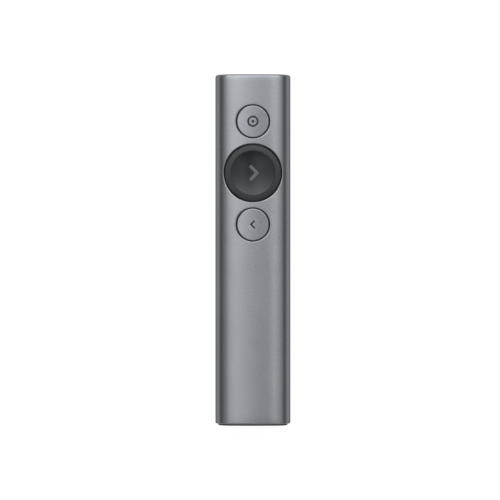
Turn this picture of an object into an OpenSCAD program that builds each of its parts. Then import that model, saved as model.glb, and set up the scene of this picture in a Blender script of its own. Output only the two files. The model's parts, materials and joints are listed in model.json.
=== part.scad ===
// Wireless presentation clicker: an extruded aluminium tube with three round push buttons,
// a board and battery on a plastic tray inside it, and a plug-in radio receiver docked in its bottom end.
// It lies on its back: +Z is the side with the buttons, +Y the end that points at the screen.

/* [Body] */
// Width of the tube
body_w = 28.1; // [27:0.1:34]
// Thickness of the tube, back to front
body_t = 11.8; // [11.7:0.1:14]
// Length of the tube and its collar
body_l = 131; // [127:0.5:150]
// Radius of the tube's slightly crowned front
crown_r = 110; // [80:1:300]
// Wall of the tube
wall = 1; // [0.85:0.05:1.2]
// Rounding of the tube's top rim
rim_r = 0.9; // [0.5:0.05:0.9]
// Rounding of the tube's bottom rim
low_rim_r = 0.5; // [0.3:0.05:0.9]

/* [Ends] */
// Depth at which the top end cap and the receiver sit inside their ends
end_recess = 0.2; // [0.1:0.05:0.4]
// How far the bottom collar stands out of the tube
collar_proud = 0.6; // [0.3:0.05:0.8]
// Thickness of the top end cap's plate
cap_t = 1.6; // [1.2:0.1:2.4]
// Length of the top end cap's skirt
cap_skirt_l = 4; // [3:0.1:4.5]
// Length of the bottom collar
collar_l = 6.8; // [6:0.1:7.6]
// Length of the collar's screws
collar_screw_l = 10; // [9:0.5:11]

/* [Buttons] */
// Distance from the tube's top end to the large middle button
next_from_top = 36.8; // [36:0.1:42]
// Distance from the middle button to each small one
button_pitch = 19.2; // [18.9:0.1:21]
// Radius of the two small button caps
small_cap_r = 5.95; // [5:0.05:6.1]
// Radius of the large button
next_r = 10.45; // [9.5:0.05:10.6]
// Radius of the dished pad in the large button
dish_r = 8.3; // [7.5:0.05:8.8]
// Depth of the dish at its middle
dish_depth = 1.05; // [0.6:0.05:1.15]
// How far the large button stands above the tube
next_proud = 0.3; // [0.2:0.05:0.6]
// Height lost across the large button's sloping ring
ring_fall = 0.3; // [0.1:0.05:0.4]
// Gap between a small cap and its hole
small_gap = 0.34; // [0.2:0.01:0.4]
// Gap between the large button and its hole
next_gap = 0.4; // [0.3:0.01:0.5]
// Travel of each button
press_travel = 0.35; // [0.2:0.01:0.4]

/* [Button marks] */
// Outer radius of the ring on the pointer button
target_r = 2.1; // [1.5:0.05:2.5]
// Radius of the dot on the pointer button
dot_r = 0.56; // [0.3:0.02:0.6]
// Line width of the marks on the small buttons
fine_line = 0.68; // [0.4:0.01:0.7]
// Height of the arrow on the large button
next_arrow_h = 6.25; // [5:0.05:7]
// Line width of the arrow on the large button
next_arrow_line = 1.2; // [0.8:0.05:1.5]
// Distance of that arrow from the button's middle, the way it points
next_arrow_x = 0.45; // [0:0.05:0.6]
// Height of the arrow on the back button
back_arrow_h = 3.3; // [2.5:0.05:4]
// Distance of that arrow from the button's middle, the way it points
back_arrow_x = 0.15; // [0:0.05:0.3]
// Depth of the marks in the two small caps
mark_depth = 0.15; // [0.1:0.01:0.3]
// Depth of the arrow in the large button
arrow_depth = 0.3; // [0.2:0.01:0.3]

/* [Board] */
// Thickness of the circuit board
board_t = 0.8; // [0.6:0.05:1]
// Height of the board's underside above the back
board_z = 3.3; // [3.2:0.05:3.35]
// Thickness of the tray's floor
tray_t = 0.8; // [0.6:0.05:0.9]
// Width of a button switch
switch_w = 5.2; // [4.6:0.1:6]
// Height of a button switch's housing
switch_h = 1.6; // [1.5:0.05:1.8]
// Radius of a button switch's actuator
actuator_r = 1.15; // [1:0.05:1.3]
// Thickness of the frame that guides the buttons
frame_t = 0.8; // [0.6:0.05:0.9]
// Radius of a button carrier's stem
stem_r = 1.8; // [1.5:0.05:2.2]

/* [Battery and motor] */
// Width of the battery
battery_w = 18; // [14:0.5:19]
// Room between the motor and the battery, for its plug and wires
battery_room = 8; // [7:0.5:14]
// Thickness of the battery
battery_t = 5.2; // [3:0.1:5.5]
// Radius of the vibration motor's can
motor_r = 2; // [1.8:0.05:2.1]
// Length of the vibration motor's can
motor_l = 7.5; // [6:0.1:7.9]
// How far the eccentric weight reaches past the can
weight_over = 0.35; // [0.1:0.05:0.4]

/* [Receiver] */
// Width of the receiver's case
case_w = 14; // [13.6:0.1:14.6]
// Thickness of the receiver's case
case_t = 4.6; // [4.55:0.01:4.65]
// Length of the receiver's case
case_l = 8.5; // [8:0.1:9]
// Width of the plug's shell
plug_w = 12; // [12:0.01:12.1]
// Thickness of the plug's shell
plug_t = 4.5; // [4.4:0.01:4.5]
// Length of the plug's shell outside the case
plug_l = 12.2; // [11.8:0.1:12.6]

/* [Charging port] */
// Width of the port's shell
port_w = 8.94; // [8.94:0.01:9.2]
// Height of the port's shell
port_h = 3.16; // [3.1:0.01:3.2]
// Length of the port's shell
port_l = 7.3; // [6.8:0.1:7.5]

/* [Hidden] */
$fn = 64;
big_fn = 720;         // for arcs much larger than the part they shape
eps = 0.01;           // overlap of pieces that are joined
past = 1;             // how far a cut runs past what it cuts
fit = 0.1;            // gap of a piece that is pushed into another
slide_gap = 0.15;     // gap round a piece that slides
seat_gap = 0.02;      // gap of a face that another piece rests on
running_gap = 0.06;   // radial gap of a stem in its guide
thread_gap = 0.02;    // radial gap of a screw in its boss

// The tube's outline: a flat back, two round sides and a crowned front, each arc tangent to the next.
half_w = body_w / 2;
outline_b = 4 * crown_r - 2 * body_t - 2 * half_w;
outline_c = half_w ^ 2 + body_t ^ 2 - 2 * crown_r * body_t;
side_r = (sqrt(outline_b ^ 2 - 4 * outline_c) - outline_b) / 2;
side_x = half_w - side_r;
crown_z = body_t - crown_r;
tangent_a = atan2(side_r - crown_z, side_x);
side_steps = 10;      // facets in each quarter of a side
crown_steps = 8;
rim_steps = 5;
rim_land = 0.1;       // flat left on the rim, inside its rounding
rim = min(rim_r, wall - rim_land);
low_rim = min(low_rim_r, wall - rim_land);
side_angles = concat([for (i = [0:side_steps]) 90 * i / side_steps - 90],
    [for (i = [1:side_steps]) tangent_a * i / side_steps]);
crown_angles = [for (i = [1:crown_steps - 1]) tangent_a + (180 - 2 * tangent_a) * i / crown_steps];

function outline(inset) = let (
    right = [for (a = side_angles) [side_x + (side_r - inset) * cos(a), side_r + (side_r - inset) * sin(a)]],
    crown = [for (a = crown_angles) [(crown_r - inset) * cos(a), crown_z + (crown_r - inset) * sin(a)]])
    concat(right, crown, [for (i = [len(right) - 1:-1:0]) [-right[i][0], right[i][1]]]);
// Height of the front's surface, or of a surface inset from it, at x from the middle
function front_z(x, inset) = crown_z + sqrt((crown_r - inset) ^ 2 - x ^ 2);
// Half the width inside the tube at height z
function inner_x(z) = side_x + sqrt((side_r - wall) ^ 2 - (side_r - z) ^ 2);

// Places along the tube
end_y = body_l / 2;
next_y = end_y - next_from_top;
pointer_y = next_y + button_pitch;
back_y = next_y - button_pitch;
button_ys = [back_y, next_y, pointer_y];

// Button stack
carrier_t = 0.7;
flange_lap = 0.85;    // how far a carrier reaches past its cap, under the tube
flange_r = small_cap_r + flange_lap;
ceiling_gap = 0.25;
carrier_top = front_z(flange_r, wall) - ceiling_gap;
carrier_z = carrier_top - carrier_t;
cap_base = carrier_top + seat_gap;
ear_l = 1.3;
ear_w = 8;
carrier_inset = 0.5;
ring_top = body_t + next_proud;
ring_edge = 0.35;     // rounding of the ring's outer edge
dish_rim_z = ring_top - 0.1;
dish_ball_r = (dish_r ^ 2 + dish_depth ^ 2) / (2 * dish_depth);
dish_floor_z = dish_rim_z - dish_depth;

// Switches
board_top = board_z + board_t;
on_board = board_top + seat_gap;
switch_top = board_top + switch_h;
switch_floor = 0.3;
switch_lid = 0.3;
actuator_rise = 0.6;  // how far the actuator stands above its housing
actuator_top = switch_top + actuator_rise;
actuator_flange_r = actuator_r + 0.55;
actuator_flange_t = 0.25;
actuator_flange_z = switch_top - switch_lid - actuator_flange_t - seat_gap;
dome_t = 0.1;
dome_r = 1.65;
dome_z = board_top + switch_floor + seat_gap;
dome_rise = actuator_flange_z - dome_z - 0.06;
dome_ball_r = (dome_r ^ 2 + dome_rise ^ 2) / (2 * dome_rise);
chamber_r = max(dome_r, actuator_flange_r) + 0.2;

// Tray
tray_z = wall + slide_gap;
tray_top = tray_z + tray_t;
tray_half_w = side_x + 0.9;
tray_end_gap = 0.4;
rail_w = 1;
collar_y0 = -end_y;
collar_y1 = collar_y0 + collar_l;
tube_y0 = collar_y0 + collar_proud;
cap_y1 = end_y - end_recess;
cap_y0 = cap_y1 - cap_t;
tray_y0 = collar_y1 + 0.2;
tray_y1 = cap_y0 - tray_end_gap;
cap_skirt_t = 0.8;
arm_w = 2.4;
arm_x = 5.2;
arm_l = 6;
arm_t = 0.8;
hook_l = 1;
hook_gap = 0.2;
clip_w = 4;
clip_t = 0.4;
clip_lap = 0.3;
clip_h = 0.6;
clip_inset = 6;       // from the ends of the battery's bay

// Board, as wide as the tube leaves room for
board_side_gap = 1.35;
board_half_w = inner_x(board_z) - board_side_gap;

// Frame over the board
frame_margin = 2;
frame_play = 0.25;    // between the frame and a pressed carrier
frame_top = carrier_z - press_travel - frame_play;
frame_z = frame_top - frame_t;
frame_half_w = board_half_w - 0.4;
frame_wall = 1;
frame_y0 = back_y - flange_r - frame_margin;
frame_y1 = pointer_y + flange_r + frame_margin;
guide_l = 1.6;
guide_wall = 0.9;
lug_t = 1;
lug_w = 3.4;

// Light guide and its two lamps
light_x = 1.55;
light_y = next_y + dish_r - 0.9;
light_r = 0.28;
led_w = 1;
led_l = 1.4;
led_h = 0.6;
guide_bar_w = 2 * light_x + 1.4;
guide_bar_l = 1.2;
guide_bar_h = 0.8;
guide_bar_z = board_top + led_h + press_travel + 0.15;
guide_slot_gap = 0.3;

// Screws
screw_r = 0.8;
screw_head_r = 1.4;
screw_head_h = 0.8;
screw_cross_l = 1.6;
screw_cross_w = 0.3;
boss_r = 1.6;
boss_floor = 0.4;
frame_screw_x = frame_half_w - frame_wall - screw_head_r - 0.7;
frame_screw_inset = 2.6;
frame_screw_ys = [frame_y0 + frame_screw_inset, frame_y1 - frame_screw_inset];
frame_screw_l = lug_t + board_top - tray_z - boss_floor - 0.2;
screw_hole_gap = 0.3; // round a screw's head
collar_screw_x = side_x + 1.9;
collar_screw_z = side_r;
collar_screw_sink = 1.4;
post_l = 5.6;
post_w = 2.8;
post_x = collar_screw_x - post_w / 2;
post_top = collar_screw_z + 1.6;

// Board outline: its tail narrows between the two posts
board_gap = 0.6;
board_y0 = collar_y1 + board_gap;
board_y1 = frame_y1;
board_shoulder_y = tray_y0 + post_l + board_gap;
board_tail_half_w = post_x - board_gap;

// Charging port, let into the end of the board
port_z = board_z;
port_y0 = collar_y0 + 0.6;
port_wall = 0.3;
port_round = 1.2;
tongue_w = 6.7;
tongue_t = 0.7;
tongue_inset = 1;
tongue_base_l = 1.85;
contact_pitch = 0.5;
contact_w = 0.24;
contact_l = 3.2;
contact_t = 0.06;

// Receiver, under the front wall, and its dock
slot_roof = 0.3;
receiver_z = front_z(case_w / 2 + slide_gap, wall + fit) - slot_roof - slide_gap - case_t / 2;
case_y0 = collar_y0 + end_recess;
case_y1 = case_y0 + case_l;
case_round = 0.8;
case_wall = 0.45;
case_tail_t = 1.2;
nail_r = 1.1;
nail_w = 9;
plug_y1 = case_y1 + plug_l;
plug_wall = 0.3;
plug_round = 0.4;
window_w = 2;
window_x = 2.6;
window_y = case_y1 + 5.2;
receiver_board_t = 1.9;
receiver_board_w = plug_w - 2 * plug_wall - 2 * fit;
receiver_board_z = receiver_z - plug_t / 2 + plug_wall + fit;
receiver_board_top = receiver_board_z + receiver_board_t;
receiver_board_y0 = case_y0 + 1.6;
contact_strip_w = 1;
contact_strip_t = 0.08;
contact_strip_y0 = 8.6;   // these three are measured back from the plug's mouth
outer_contact_y1 = 1.2;
inner_contact_y1 = 2;
outer_contact_x = 3.5;
inner_contact_x = 1;
dock_wall = 0.8;
dock_floor_t = 0.35;
dock_foot_w = 1.6;
dock_y0 = case_y1 + 0.6;
dock_y1 = plug_y1 + 1;
dock_in_w = plug_w + 2 * slide_gap;
dock_in_z = receiver_z - plug_t / 2 - slide_gap;
dock_window_w = 4.4;
dock_window_y0 = dock_y0 + 2;
dock_window_y1 = dock_y1 - 1.6;
leaf_w = 3.6;
leaf_t = 0.15;
leaf_foot = 2;
leaf_drop = 0.5;      // from the leaf's crest down to its tip

// Motor, across the tube between the dock and the battery
motor_y = dock_y1 + 3.6;
boot_t = 0.5;
boot_back = 0.4;
boot_short = 0.8;
motor_z = board_top + boot_t + motor_r;
motor_x0 = -7.6;
motor_back = 1;
shaft_r = 0.4;
shaft_gap = 0.03;
shaft_l = 4.6;
weight_r = motor_r + weight_over;
weight_gap = 0.6;
weight_hub_r = 1.1;
weight_l = 3.4;
motor_wire_r = 0.3;
motor_wire_pitch = 1.2;
motor_wire_reach = 0.7;

// Battery
battery_pad_t = 0.2;
battery_pad_inset = 2;
battery_z = board_top + battery_pad_t;
battery_round = 1.2;
guard_l = 1.6;
guard_inset = 0.8;
battery_y0 = motor_y + motor_r + boot_t + battery_room;
battery_l = frame_y0 - board_gap - battery_y0;
guard_y0 = battery_y0 - guard_l;
header_x = 5.9;
header_w = 3.2;
header_l = 2.4;
header_h = 1.6;
header_wall = 0.4;
header_y = guard_y0 - 1.9;
plug_fit = 0.05;
wire_r = 0.35;
wire_pitch = 1;

// Chips under the frame, beside the switches
chip_x = frame_half_w - frame_wall - 3.7;
chips_y = (next_y + pointer_y) / 2 + 1.4;
sensor_y = (next_y + back_y) / 2;

function mid(w) = [-w / 2, w / 2];
function about(x, w) = [x - w / 2, x + w / 2];

module box(x, y, z) { // each argument is [low, high]
    translate([x[0], y[0], z[0]]) cube([x[1] - x[0], y[1] - y[0], z[1] - z[0]]);
}

module rounded_bar(w, h, l, r) { // along Y from the origin, centred in X and Z
    rotate([-90, 0, 0]) linear_extrude(l) union() {
        square([w - 2 * r, h], center = true);
        square([w, h - 2 * r], center = true);
        for (x = [-1, 1], z = [-1, 1]) translate([x * (w / 2 - r), z * (h / 2 - r)]) circle(r);
    }
}

module both_sides() {
    children();
    mirror([1, 0, 0]) children();
}

module profile_bar(inset, y0, y1) { // the tube's outline, inset, from y0 to y1
    translate([0, y1, 0]) rotate([90, 0, 0]) linear_extrude(y1 - y0) polygon(outline(inset));
}

// ---- Tube and ends ----

// Insets of a rim's rounding, each with its distance from the end
function rim_curve(r) = [for (i = [0:rim_steps]) let (a = 90 * i / rim_steps)
    [r * (1 - sin(a)), r * (1 - cos(a))]];

module tube_form() { // the outer form, with both rims rounded
    low = rim_curve(low_rim);
    high = rim_curve(rim);
    rings = concat([for (s = low) [s[0], tube_y0 + s[1]]],
        [for (i = [rim_steps:-1:0]) [high[i][0], end_y - high[i][1]]]);
    n = len(outline(0));
    last = len(rings) - 1;
    points = [for (s = rings) for (p = outline(s[0])) [p[0], s[1], p[1]]];
    sides = [for (k = [0:last - 1]) for (i = [0:n - 1]) let (j = (i + 1) % n)
        [k * n + i, k * n + j, (k + 1) * n + j, (k + 1) * n + i]];
    ends = [[for (i = [n - 1:-1:0]) i], [for (i = [0:n - 1]) last * n + i]];
    polyhedron(points, concat(sides, ends));
}

module housing_tube() color([0.55, 0.56, 0.58]) difference() {
    tube_form();
    profile_bar(wall, -body_l, body_l);
    for (y = [pointer_y, back_y]) translate([0, y, body_t / 2])
        cylinder(r = small_cap_r + small_gap, h = body_t);
    translate([0, next_y, body_t / 2]) cylinder(r = next_r + next_gap, h = body_t);
}

module top_end_cap() color([0.3, 0.31, 0.32]) union() {
    profile_bar(wall + fit, cap_y0, cap_y1);
    difference() {
        profile_bar(wall + fit, cap_y0 - cap_skirt_l, cap_y0 + eps);
        profile_bar(wall + fit + cap_skirt_t, -body_l, body_l);
        box([-half_w, half_w], [0, cap_y0], [0, tray_top + fit]);
    }
    both_sides() translate([arm_x - arm_w / 2, cap_y0 - arm_l, 0]) {
        box([0, arm_w], [0, arm_l + eps], [tray_top + fit, tray_top + fit + arm_t]);
        box([0, arm_w], [hook_gap, hook_gap + hook_l], [tray_z + hook_gap, tray_top + fit + eps]);
    }
}

module bottom_collar() color([0.12, 0.12, 0.13]) difference() {
    profile_bar(wall + fit, collar_y0, collar_y1);
    l = collar_l + 2 * past;
    translate([0, collar_y0 - past, receiver_z])
        rounded_bar(case_w + 2 * slide_gap, case_t + 2 * slide_gap, l, case_round + slide_gap);
    translate([0, collar_y0 - past, port_z])
        rounded_bar(port_w + 2 * fit, port_h + 2 * fit, l, port_round + fit);
    both_sides() translate([collar_screw_x, collar_y0 - past, collar_screw_z]) rotate([-90, 0, 0]) {
        cylinder(r = screw_r + fit, h = l);
        cylinder(r = screw_head_r + fit, h = collar_screw_sink + past);
    }
}

module screw(l) { // head's underside at the origin, shank along -Z
    difference() {
        cylinder(r = screw_head_r, h = screw_head_h);
        for (a = [0, 90]) rotate(a) translate([-screw_cross_l / 2, -screw_cross_w / 2, screw_head_h / 2])
            cube([screw_cross_l, screw_cross_w, screw_head_h]);
    }
    translate([0, 0, -l]) cylinder(r = screw_r, h = l);
}

module collar_screws() color([0.5, 0.5, 0.52]) both_sides()
    translate([collar_screw_x, collar_y0 + collar_screw_sink, collar_screw_z]) rotate([90, 0, 0])
        screw(collar_screw_l);

// ---- Tray, board and frame ----

module chassis_tray() color([0.2, 0.2, 0.21]) difference() {
    union() {
        box([-tray_half_w, tray_half_w], [tray_y0, tray_y1], [tray_z, tray_top]);
        both_sides() {
            box([tray_half_w - rail_w, tray_half_w], [board_shoulder_y, cap_y0 - cap_skirt_l - 2 * hook_gap],
                [tray_top - eps, board_z - seat_gap]);
            for (y = frame_screw_ys) translate([frame_screw_x, y, tray_top - eps])
                cylinder(r = boss_r, h = board_z - seat_gap - tray_top + eps);
            for (y = [battery_y0 + clip_inset, frame_y0 - clip_inset]) board_clip(y);
            screw_post();
        }
    }
    both_sides() {
        for (y = frame_screw_ys) translate([frame_screw_x, y, tray_z + boss_floor])
            cylinder(r = screw_r + thread_gap, h = board_z);
        translate([collar_screw_x, tray_y0 - past, collar_screw_z]) rotate([-90, 0, 0])
            cylinder(r = screw_r + thread_gap, h = past + post_l);
        box(about(arm_x, arm_w + 2 * hook_gap), [cap_y0 - arm_l, cap_y0 - arm_l + hook_l + 3 * hook_gap],
            [0, board_z]);
    }
    box(mid(port_w + 2 * board_gap), [tray_y0 - past, port_y0 + port_l + board_gap], [0, board_z]);
}

module board_clip(y) { // a hook over the board's edge
    x0 = board_half_w + fit;
    x1 = x0 + clip_t;
    ys = about(y, clip_w);
    box([tray_half_w - eps, x1], ys, [board_z - tray_t, board_z - seat_gap]);
    box([x0, x1], ys, [board_z - tray_t, board_top + clip_h]);
    box([x0 - clip_lap - fit, x1], ys, [on_board, board_top + clip_h]);
}

module screw_post() intersection() { // takes one of the collar's screws
    box([post_x, post_x + post_w], [tray_y0, tray_y0 + post_l], [tray_z, post_top]);
    profile_bar(wall + slide_gap, tray_y0, tray_y0 + post_l);
}

module main_board() color([0.05, 0.22, 0.14]) difference() {
    union() {
        box(mid(2 * board_half_w), [board_shoulder_y, board_y1], [board_z, board_top]);
        box(mid(2 * board_tail_half_w), [board_y0, board_shoulder_y + eps], [board_z, board_top]);
    }
    box(mid(port_w + 2 * fit), [board_y0 - past, port_y0 + port_l + fit], [0, body_t]);
    both_sides() for (y = frame_screw_ys) translate([frame_screw_x, y, 0])
        cylinder(r = screw_r + fit, h = body_t);
}

module button_frame() color([0.16, 0.16, 0.17]) difference() {
    union() {
        box([-frame_half_w, frame_half_w], [frame_y0, frame_y1], [frame_z, frame_top]);
        both_sides() {
            box([frame_half_w - frame_wall, frame_half_w], [frame_y0, frame_y1], [on_board, frame_z + eps]);
            for (y = frame_screw_ys) box([frame_screw_x - lug_w / 2, frame_half_w - frame_wall + eps],
                about(y, lug_w), [on_board, board_top + lug_t]);
        }
        for (y = button_ys) translate([0, y, frame_top - guide_l])
            cylinder(r = stem_r + guide_wall, h = guide_l - eps);
    }
    for (y = button_ys) translate([0, y, 0]) cylinder(r = stem_r + running_gap, h = body_t);
    both_sides() for (y = frame_screw_ys) translate([frame_screw_x, y, 0]) {
        cylinder(r = screw_r + fit, h = body_t);
        translate([0, 0, frame_z - past]) cylinder(r = screw_head_r + screw_hole_gap, h = body_t);
    }
    box(mid(guide_bar_w + 2 * guide_slot_gap), about(light_y, guide_bar_l + 2 * guide_slot_gap), [0, body_t]);
}

module frame_screws() color([0.5, 0.5, 0.52]) both_sides() for (y = frame_screw_ys)
    translate([frame_screw_x, y, on_board + lug_t]) screw(frame_screw_l);

// ---- Buttons ----

module arrow(h, line, way) { // a chevron with square corners; way is 1 for right, -1 for left
    run = line * sqrt(2);
    w = h / 2 + run / 2;
    upper = [[w - run, 0], [0, h / 2 - run / 2], [run / 2, h / 2], [w, 0]];
    lower = [[run / 2, -h / 2], [0, run / 2 - h / 2]];
    polygon([for (p = concat(upper, lower)) [(p[0] - w / 2) * way, p[1]]]);
}

module target() { // a ring round a dot
    difference() {
        circle(target_r);
        circle(target_r - fine_line);
    }
    circle(dot_r);
}

module crown_solid(inset) { // all that lies under the front's true surface
    translate([0, 0, crown_z]) rotate([90, 0, 0])
        cylinder(r = crown_r - inset, h = 2 * body_l, center = true, $fn = big_fn);
}

module small_cap(y) difference() { // follows the front's crown
    intersection() {
        translate([0, y, cap_base]) cylinder(r = small_cap_r, h = body_t);
        crown_solid(0);
    }
    translate([0, y, body_t - mark_depth]) linear_extrude(body_t) children();
}

module small_mark(y, reach) // fills the recess in a small cap to just below the crown at its edge
    translate([0, y, body_t - mark_depth])
        linear_extrude(front_z(reach, 0) - body_t + mark_depth - seat_gap) children();

module pointer_cap() color([0.55, 0.56, 0.58]) small_cap(pointer_y) target();
module pointer_mark() color([0.1, 0.1, 0.11]) small_mark(pointer_y, target_r) target();
module back_mark_shape() translate([-back_arrow_x, 0]) arrow(back_arrow_h, fine_line, -1);
module back_cap() color([0.55, 0.56, 0.58]) small_cap(back_y) back_mark_shape();
module back_arrow() color([0.1, 0.1, 0.11]) small_mark(back_y, back_arrow_h / 2) back_mark_shape();

module carrier_stem(y) translate([0, y, actuator_top + seat_gap])
    cylinder(r = stem_r, h = carrier_z - actuator_top - seat_gap + eps);

module small_carrier(y) color([0.14, 0.14, 0.15]) union() {
    translate([0, y, carrier_z]) cylinder(r = flange_r, h = carrier_t);
    carrier_stem(y);
}

module pointer_carrier() small_carrier(pointer_y);
module back_carrier() small_carrier(back_y);

module next_ring() color([0.2, 0.2, 0.21]) translate([0, next_y, 0]) rotate_extrude() {
    rim_z = ring_top - ring_fall;
    polygon([[dish_r, cap_base], [next_r, cap_base], [next_r, rim_z - ring_edge],
        [next_r - ring_edge / 3, rim_z - ring_edge / 3], [next_r - ring_edge, rim_z], [dish_r, ring_top]]);
}

module dish_block() difference() {
    translate([0, next_y, cap_base]) cylinder(r = dish_r - seat_gap, h = dish_rim_z - cap_base);
    translate([0, next_y, dish_floor_z + dish_ball_r]) sphere(dish_ball_r, $fn = 200);
}

module arrow_prism() translate([next_arrow_x, next_y, dish_floor_z - arrow_depth])
    linear_extrude(body_t) arrow(next_arrow_h, next_arrow_line, 1);

module light_holes(r) for (x = [-light_x, light_x]) translate([x, light_y, guide_bar_z + guide_bar_h - eps])
    cylinder(r = r, h = body_t);

module next_dish() color([0.13, 0.13, 0.14]) difference() {
    dish_block();
    arrow_prism();
    light_holes(light_r + seat_gap);
}

module next_arrow() color([0.42, 0.43, 0.45]) intersection() {
    arrow_prism();
    dish_block();
}

module next_carrier() color([0.14, 0.14, 0.15]) difference() {
    union() {
        translate([0, next_y, carrier_z]) cylinder(r = next_r - carrier_inset, h = carrier_t);
        box(mid(ear_w), about(next_y, 2 * (next_r + ear_l)), [carrier_z, carrier_top]);
        carrier_stem(next_y);
    }
    light_holes(light_r + seat_gap);
}

module light_guide() color([0.85, 0.87, 0.88]) difference() {
    union() {
        box(mid(guide_bar_w), about(light_y, guide_bar_l), [guide_bar_z, guide_bar_z + guide_bar_h]);
        light_holes(light_r);
    }
    translate([0, next_y, dish_floor_z + dish_ball_r]) sphere(dish_ball_r, $fn = 200);
    box(mid(body_w), mid(body_l), [dish_rim_z, 2 * body_t]);
}

module status_leds() color([0.9, 0.88, 0.75]) for (x = [-light_x, light_x])
    box(about(x, led_w), about(light_y, led_l), [on_board, board_top + led_h]);

module actuator(y) color([0.75, 0.72, 0.65]) translate([0, y, actuator_flange_z]) union() {
    cylinder(r = actuator_flange_r, h = actuator_flange_t);
    cylinder(r = actuator_r, h = actuator_top - actuator_flange_z);
}

module snap_dome(y) color([0.7, 0.71, 0.72]) translate([0, y, dome_z]) difference() {
    intersection() {
        translate([0, 0, dome_rise - dome_ball_r]) sphere(dome_ball_r, $fn = 96);
        cylinder(r = dome_r, h = dome_rise);
    }
    translate([0, 0, dome_rise - dome_ball_r]) sphere(dome_ball_r - dome_t, $fn = 96);
}

module switch_housing(y) color([0.08, 0.08, 0.09]) translate([0, y, 0]) difference() {
    box(mid(switch_w), mid(switch_w), [on_board, switch_top]);
    translate([0, 0, board_top + switch_floor]) {
        cylinder(r = chamber_r, h = switch_h - switch_floor - switch_lid);
        cylinder(r = actuator_r + running_gap, h = switch_h);
    }
}

module pointer_actuator() actuator(pointer_y);
module pointer_dome() snap_dome(pointer_y);
module pointer_switch() switch_housing(pointer_y);
module next_actuator() actuator(next_y);
module next_dome() snap_dome(next_y);
module next_switch() switch_housing(next_y);
module back_actuator() actuator(back_y);
module back_dome() snap_dome(back_y);
module back_switch() switch_housing(back_y);

// ---- Battery ----

module battery_cell() color([0.72, 0.73, 0.75]) translate([0, battery_y0, battery_z + battery_t / 2])
    rounded_bar(battery_w, battery_t, battery_l, battery_round);

module battery_guard() color([0.75, 0.55, 0.12]) // the protection board, taped to the cell's end
    box(mid(battery_w - 2 * battery_round), [guard_y0, battery_y0 - seat_gap],
        [battery_z, battery_z + battery_t - guard_inset]);

module battery_pad() color([0.1, 0.1, 0.1])
    box(mid(battery_w - 2 * battery_pad_inset),
        [battery_y0 + battery_pad_inset, battery_y0 + battery_l - battery_pad_inset],
        [on_board, battery_z - seat_gap]);

module battery_header() color([0.92, 0.9, 0.84]) translate([header_x, header_y, board_top]) difference() {
    box(mid(header_w), [-header_l, 0], [seat_gap, header_h]);
    box(mid(header_w - 2 * header_wall), [header_wall - header_l, past], [header_wall, body_t]);
}

module battery_plug() color([0.9, 0.9, 0.88]) translate([header_x, header_y, board_top])
    box(mid(header_w - 2 * (header_wall + plug_fit)), [header_wall + plug_fit - header_l, header_wall],
        [header_wall + plug_fit, header_h + header_wall]);

module battery_wires() for (s = [-1, 1]) color(s < 0 ? [0.75, 0.08, 0.06] : [0.06, 0.06, 0.07])
    translate([header_x + s * wire_pitch / 2, header_y + header_wall, board_top + header_h - wire_r])
        rotate([-90, 0, 0]) cylinder(r = wire_r, h = guard_y0 - header_y - header_wall);

// ---- Vibration motor ----

module along_motor(x) translate([motor_x0 + x, motor_y, motor_z]) rotate([0, 90, 0]) children();

module motor_can() color([0.78, 0.79, 0.8]) difference() {
    along_motor(0) cylinder(r = motor_r, h = motor_l);
    along_motor(motor_back) cylinder(r = shaft_r + shaft_gap, h = motor_l);
}

module motor_shaft() color([0.6, 0.6, 0.62]) along_motor(motor_back + fit)
    cylinder(r = shaft_r, h = motor_l - motor_back - fit + shaft_l);

module motor_weight() color([0.5, 0.48, 0.45]) along_motor(motor_l + weight_gap) difference() {
    union() {
        cylinder(r = weight_hub_r, h = weight_l);
        intersection() {
            cylinder(r = weight_r, h = weight_l);
            translate([0, -weight_r, 0]) cube([weight_r, 2 * weight_r, weight_l]);
        }
    }
    translate([0, 0, -past]) cylinder(r = shaft_r + seat_gap, h = weight_l + 2 * past);
}

module motor_boot() color([0.09, 0.09, 0.1]) difference() {
    box([motor_x0 - boot_back, motor_x0 + motor_l - boot_short], about(motor_y, 2 * (motor_r + boot_t)),
        [on_board, motor_z + motor_r + boot_t]);
    along_motor(-seat_gap) cylinder(r = motor_r + seat_gap, h = motor_l);
}

module motor_wires() for (s = [-1, 1]) color(s < 0 ? [0.1, 0.2, 0.65] : [0.75, 0.08, 0.06])
    translate([motor_x0 - boot_back - motor_wire_reach, motor_y + s * motor_wire_pitch / 2, 0]) union() {
        translate([0, 0, motor_z]) rotate([0, 90, 0]) cylinder(r = motor_wire_r, h = motor_wire_reach);
        translate([0, 0, motor_z]) sphere(motor_wire_r);
        translate([0, 0, on_board]) cylinder(r = motor_wire_r, h = motor_z - on_board);
    }

// ---- Charging port ----

module charging_port() color([0.78, 0.79, 0.8]) translate([0, port_y0, port_z]) difference() {
    in_w = port_w - 2 * port_wall;
    in_h = port_h - 2 * port_wall;
    rounded_bar(port_w, port_h, port_l, port_round);
    translate([0, -past, 0]) rounded_bar(in_w, in_h, port_l + past - port_wall, port_round - port_wall);
}

module charging_tongue() color([0.07, 0.07, 0.08]) translate([0, port_y0, port_z]) union() {
    back = port_l - port_wall - seat_gap;
    half_h = port_h / 2 - port_wall - seat_gap;
    box(mid(tongue_w), [tongue_inset, back], mid(tongue_t));
    box(mid(tongue_w), [back - tongue_base_l, back], [-half_h, half_h]);
}

module charging_contacts() color([0.85, 0.68, 0.25]) for (i = [0:11], s = [-1, 1])
    translate([(i - 5.5) * contact_pitch, port_y0 + tongue_inset + contact_pitch, port_z])
        box(mid(contact_w), [0, contact_l], about(s * (tongue_t + contact_t + eps) / 2, contact_t));

// ---- Receiver and dock ----

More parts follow.
